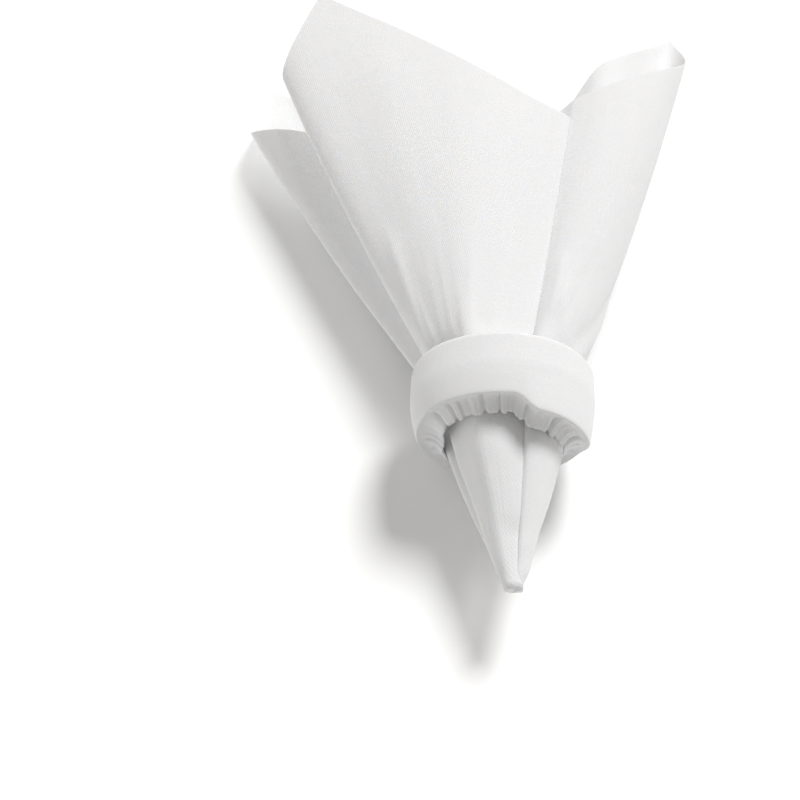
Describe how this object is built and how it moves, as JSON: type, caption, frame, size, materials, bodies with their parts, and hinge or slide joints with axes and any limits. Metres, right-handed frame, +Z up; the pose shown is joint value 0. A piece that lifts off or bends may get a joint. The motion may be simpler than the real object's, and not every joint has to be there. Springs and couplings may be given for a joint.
{
  "type": "paper napkin in a napkin ring",
  "caption": "Square white paper napkin gathered at its middle and pushed tail first through a folded paper ring, its corners flaring out behind.",
  "frame": {"origin": "on the floor under the middle of the ring, on the flat spot on which the ring rests", "axes": "+Z up, +Y along the ring's axis from the pointed tail to the open flare, +X to the right seen from the tail"},
  "size_m": [0.1853, 0.2712, 0.0736],
  "materials": {
    "napkin_paper": "soft white paper with a fine linen emboss",
    "ring_paper": "soft white paper with a fine linen emboss, folded to a padded band"
  },
  "bodies": {
    "root": {"napkin": "napkin_paper", "napkin_ring": "ring_paper"}
  },
  "joints": []
}
